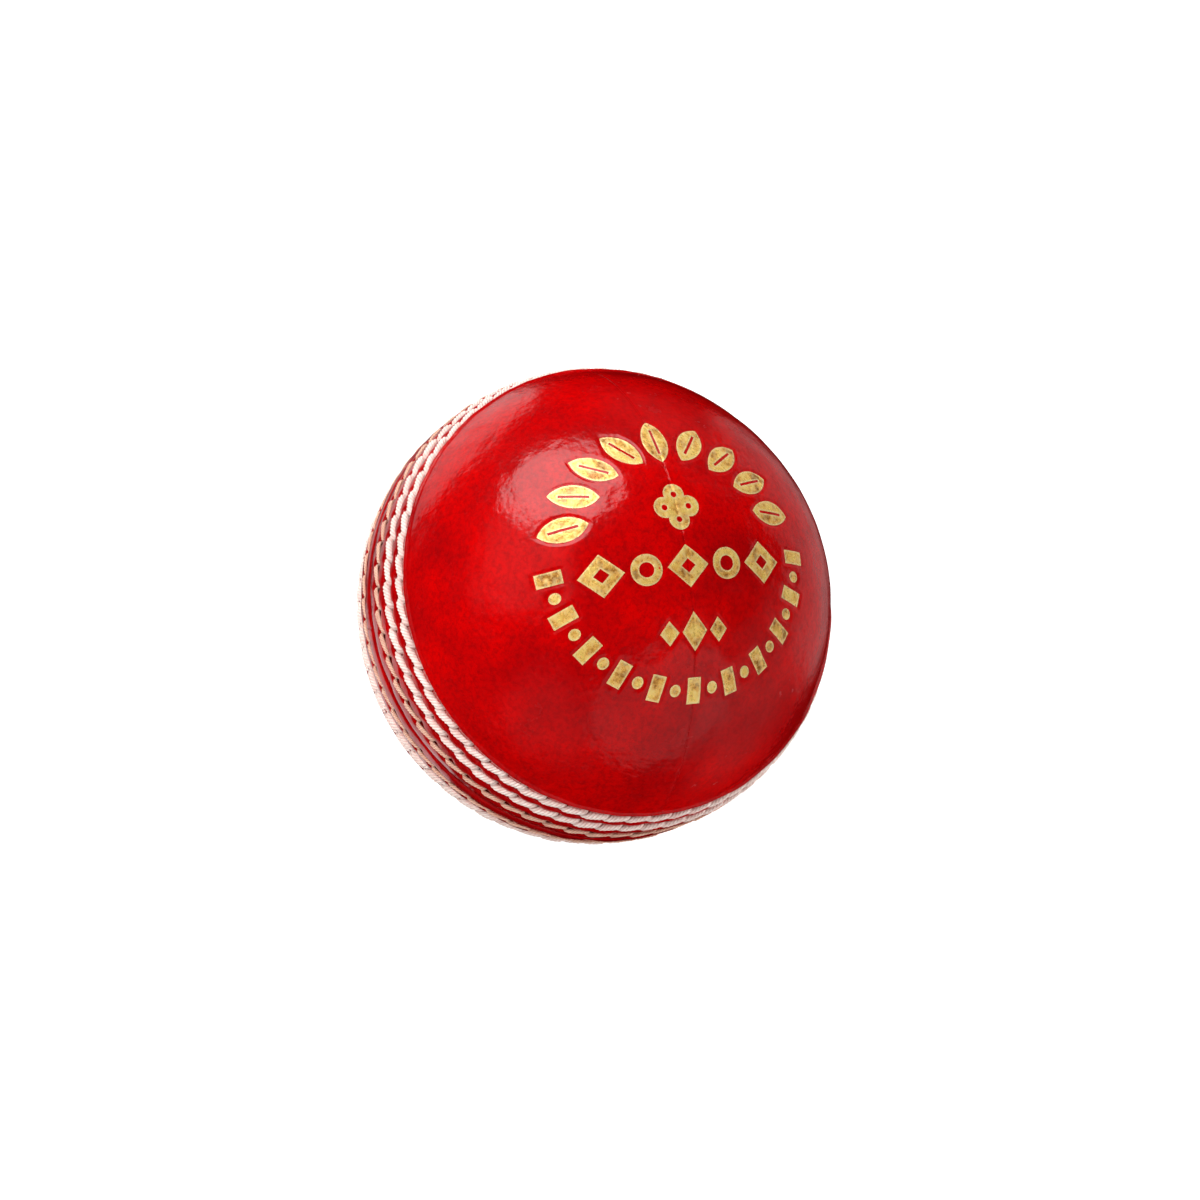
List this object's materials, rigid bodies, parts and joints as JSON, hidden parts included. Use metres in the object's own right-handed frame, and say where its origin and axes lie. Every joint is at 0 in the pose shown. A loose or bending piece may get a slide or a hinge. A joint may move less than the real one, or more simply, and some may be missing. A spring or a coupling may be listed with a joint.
{
  "type": "cricket ball",
  "caption": "Hard leather ball with a wound cork and yarn core, four leather quarters, a raised stitched seam and a foil stamp.",
  "frame": {"origin": "the centre of the ball", "axes": "+Z through the pole of the stamped half, so the main seam lies in the XY plane; the upper quarter seam lies in the XZ plane and the lower one in the YZ plane"},
  "size_m": [0.0734, 0.0734, 0.072],
  "materials": {
    "cork_rubber": "matt pressed cork and rubber granules",
    "cork": "matt natural cork",
    "yarn": "tightly wound wool yarn",
    "red_leather": "polished dyed and lacquered leather",
    "white_twine": "waxed three-ply linen twine",
    "linen_thread": "waxed linen thread stained by the red dye",
    "gold_foil": "worn hot-pressed gold foil"
  },
  "bodies": {
    "root": {"core_nucleus": "cork_rubber", "cork_wrap_1": "cork", "cork_wrap_2": "cork", "cork_wrap_3": "cork", "cork_wrap_4": "cork", "cork_wrap_5": "cork", "yarn_winding_1": "yarn", "yarn_winding_2": "yarn", "yarn_winding_3": "yarn", "yarn_winding_4": "yarn", "yarn_winding_5": "yarn", "upper_quarter_back": "red_leather", "upper_quarter_front": "red_leather", "lower_quarter_right": "red_leather", "lower_quarter_left": "red_leather", "upper_quarter_seam_thread": "linen_thread", "lower_quarter_seam_thread": "linen_thread", "upper_outer_stitches": "white_twine", "upper_middle_stitches": "white_twine", "upper_inner_stitches": "linen_thread", "lower_inner_stitches": "linen_thread", "lower_middle_stitches": "white_twine", "lower_outer_stitches": "white_twine", "closing_thread": "linen_thread", "foil_leaf_wreath": "gold_foil", "foil_centre_marks": "gold_foil", "foil_bar_arc": "gold_foil"}
  },
  "joints": []
}
